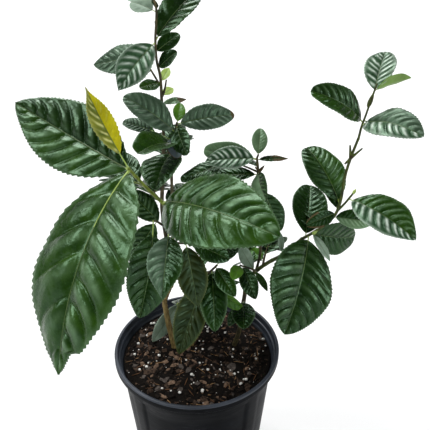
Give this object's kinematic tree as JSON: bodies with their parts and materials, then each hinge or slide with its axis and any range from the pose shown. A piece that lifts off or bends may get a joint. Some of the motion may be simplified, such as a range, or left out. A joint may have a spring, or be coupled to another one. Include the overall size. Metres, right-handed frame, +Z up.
{
  "type": "potted tea bush",
  "caption": "Young evergreen tea bush with slender woody stems and glossy toothed leaves, growing in a round black plastic nursery pot filled with bark mix.",
  "frame": {"origin": "centre of the pot's flat underside", "axes": "+Z up from the surface it stands on to the top of the crown, -Y towards the side that the picture shows, +X to that side's right"},
  "size_m": [0.2959, 0.2645, 0.509],
  "materials": {
    "pot_plastic": "satin",
    "bark_mix": "matte",
    "stem_bark": "matte",
    "green_shoot": "satin",
    "leaf": "glossy"
  },
  "bodies": {
    "root": {"pot": "pot_plastic", "potting_mix": "bark_mix", "main_stem": "stem_bark", "second_stem": "stem_bark", "middle_stem": "stem_bark", "right_stem": "stem_bark", "right_bough": "stem_bark", "centre_bough": "stem_bark", "near_bough": "green_shoot", "near_shoot": "leaf", "crown_shoot": "leaf", "whorl": "leaf", "centre_shoot": "leaf", "right_lower": "leaf", "right_top": "leaf", "near_leaf": "leaf", "stem_leaf": "leaf", "bough_leaf": "leaf", "left_side": "leaf", "low_left": "leaf", "inner_shoot": "leaf", "low_centre": "leaf", "low_right": "leaf", "low_stalk": "leaf", "back_upper": "leaf", "back_centre": "leaf", "back_left": "leaf", "back_right": "leaf", "back_low": "leaf"}
  },
  "joints": []
}
